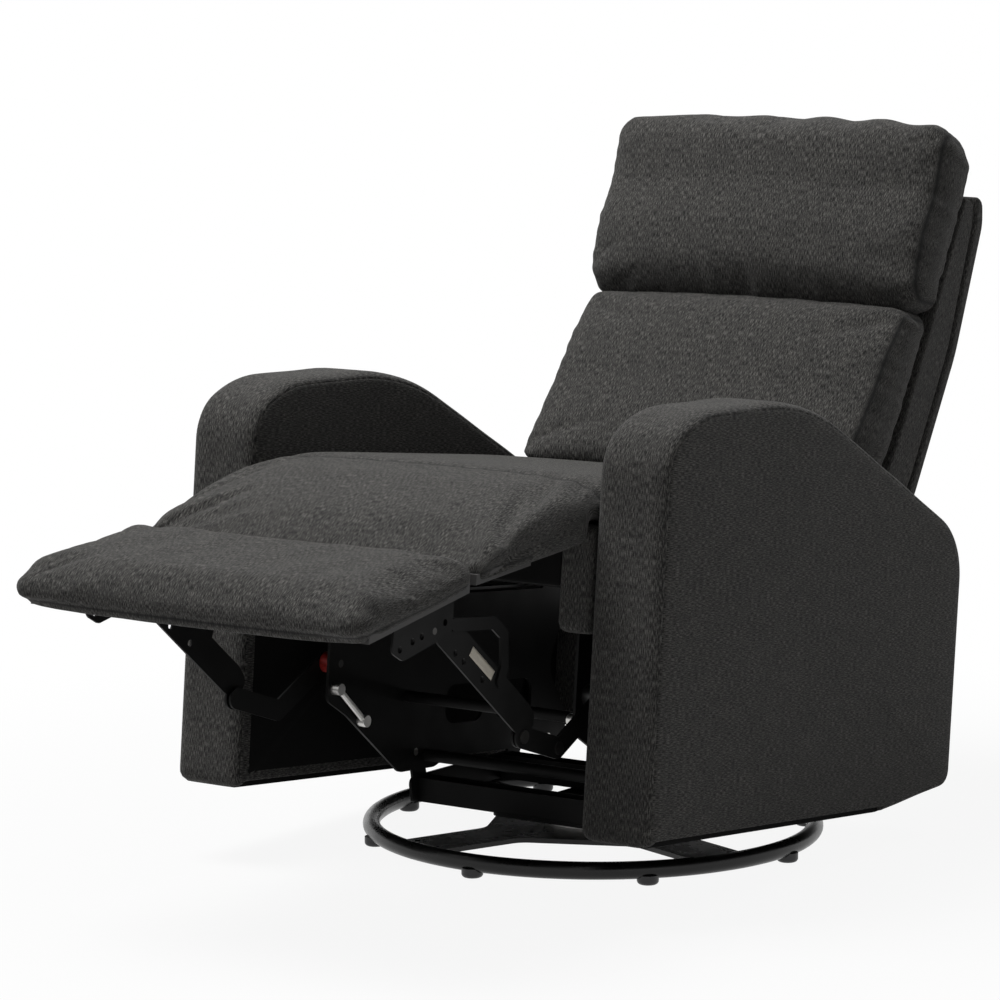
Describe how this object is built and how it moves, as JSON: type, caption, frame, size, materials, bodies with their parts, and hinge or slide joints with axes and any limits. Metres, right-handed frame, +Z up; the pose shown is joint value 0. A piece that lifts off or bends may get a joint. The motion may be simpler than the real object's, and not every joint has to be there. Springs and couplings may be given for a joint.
{
  "type": "glider nursery chair",
  "caption": "Upholstered swivel glider recliner with padded arms, reclining back with head cushion, fold-out footrest on steel links and a round tube floor base.",
  "frame": {"origin": "on the floor, on the swivel axis at the centre of the ring base", "axes": "+Z up, the chair faces -Y, +X towards the right as seen facing the chair"},
  "size_m": [0.7, 1.3724, 0.9039],
  "materials": {
    "charcoal_fabric": "heathered slub linen weave, matte",
    "black_steel": "satin black powder coat",
    "bright_steel": "zinc plated",
    "frame_wood": "raw plywood and softwood",
    "black_cloth": "black non-woven cloth",
    "black_plastic": "moulded",
    "red_plastic": "moulded"
  },
  "bodies": {
    "base": {"base_ring": "black_steel", "base_cross": "black_steel", "base_glides": "black_plastic", "swivel_lower_race": "bright_steel", "swivel_balls": "bright_steel", "swivel_bolt": "bright_steel"},
    "turntable": {"swivel_upper_race": "bright_steel", "turntable_plate": "black_steel", "turntable_channels": "black_steel", "turntable_sides": "black_steel", "glide_upper_pins": "bright_steel"},
    "glide_front": {"glide_links_front": "black_steel"},
    "glide_rear": {"glide_links_rear": "black_steel"},
    "chair_body": {"mechanism_plate_right": "black_steel", "mechanism_plate_left": "black_steel", "glide_lower_pins": "bright_steel", "cross_tubes": "black_steel", "arm_brackets": "black_steel", "arm_bolts": "bright_steel", "drive_rods": "bright_steel", "seat_runners": "black_plastic", "link_pivot_pins": "bright_steel", "stop_bushes": "red_plastic", "recline_pins": "bright_steel", "arm_core_right": "frame_wood", "arm_core_left": "frame_wood", "arm_band_right": "charcoal_fabric", "arm_band_left": "charcoal_fabric", "arm_outer_panel_right": "charcoal_fabric", "arm_outer_panel_left": "charcoal_fabric", "arm_inner_panel_right": "charcoal_fabric", "arm_inner_panel_left": "charcoal_fabric", "rear_apron": "charcoal_fabric"},
    "seat": {"seat_side_rails": "charcoal_fabric", "seat_cross_rails": "frame_wood", "seat_springs": "bright_steel", "spring_clips": "bright_steel", "seat_cushion": "charcoal_fabric", "seat_dust_cover": "black_cloth", "seat_hinge_leaves": "black_steel"},
    "flap": {"flap_board": "frame_wood", "flap_pad": "charcoal_fabric", "flap_hinge_leaves": "black_steel"},
    "footrest": {"footrest_board": "frame_wood", "footrest_pad": "charcoal_fabric", "footrest_tip_leaves": "black_steel", "footrest_brackets": "black_steel", "foot_pins": "bright_steel"},
    "front_links": {"front_links": "black_steel", "front_straps": "black_steel"},
    "rear_links": {"rear_links": "black_steel", "rear_link_pins": "bright_steel"},
    "back": {"back_stiles": "frame_wood", "back_rails": "frame_wood", "back_straps": "black_cloth", "back_shell": "charcoal_fabric", "back_side_pads": "charcoal_fabric", "back_brackets": "black_steel", "back_cushion": "charcoal_fabric", "head_cushion": "charcoal_fabric"}
  },
  "joints": [
    {"name": "swivel", "type": "hinge", "parent": "base", "child": "turntable", "pos_m": [0, 0, 0.0346], "axis": [0, 0, 1], "continuous": true},
    {"name": "glide", "type": "hinge", "parent": "turntable", "child": "glide_front", "pos_m": [0, -0.13383, 0.21441], "axis": [1, 0, 0], "range_deg": [-24, 24]},
    {"name": "glide_rear_link", "type": "hinge", "parent": "turntable", "child": "glide_rear", "pos_m": [0, 0.16489, 0.18669], "axis": [1, 0, 0], "range_deg": [-24, 24]},
    {"name": "glide_body", "type": "hinge", "parent": "glide_front", "child": "chair_body", "pos_m": [0, -0.13383, 0.10941], "axis": [1, 0, 0], "range_deg": [-24, 24]},
    {"name": "footrest_fold", "type": "hinge", "parent": "chair_body", "child": "rear_links", "pos_m": [0, -0.29014, 0.24604], "axis": [1, 0, 0], "range_deg": [0, 165.02]},
    {"name": "seat_travel", "type": "slide", "parent": "chair_body", "child": "seat", "axis": [0, 0.9957, -0.0924], "range_m": [0, 0.05]},
    {"name": "flap_fold", "type": "hinge", "parent": "seat", "child": "flap", "pos_m": [0, -0.43645, 0.47392], "axis": [1, 0, 0], "range_deg": [0, 73]},
    {"name": "footrest_tip", "type": "hinge", "parent": "flap", "child": "footrest", "pos_m": [0, -0.60388, 0.41212], "axis": [1, 0, 0], "range_deg": [0, 5]},
    {"name": "front_link_turn", "type": "hinge", "parent": "rear_links", "child": "front_links", "pos_m": [0, -0.46547, 0.22604], "axis": [1, 0, 0], "range_deg": [-130.89, 0]},
    {"name": "recline", "type": "hinge", "parent": "chair_body", "child": "back", "pos_m": [0, 0.23906, 0.33995], "axis": [-1, 0, 0], "range_deg": [-8, 22]}
  ],
  "couplings": [
    {"joint": "glide_rear_link", "follows": "glide", "ratio": 1},
    {"joint": "glide_body", "follows": "glide", "ratio": -1},
    {"joint": "seat_travel", "follows": "footrest_fold", "m_per_rad": 0.01736},
    {"joint": "flap_fold", "follows": "footrest_fold", "ratio": 0.44236},
    {"joint": "footrest_tip", "follows": "footrest_fold", "ratio": 0.030299},
    {"joint": "front_link_turn", "follows": "footrest_fold", "ratio": -0.79317}
  ]
}
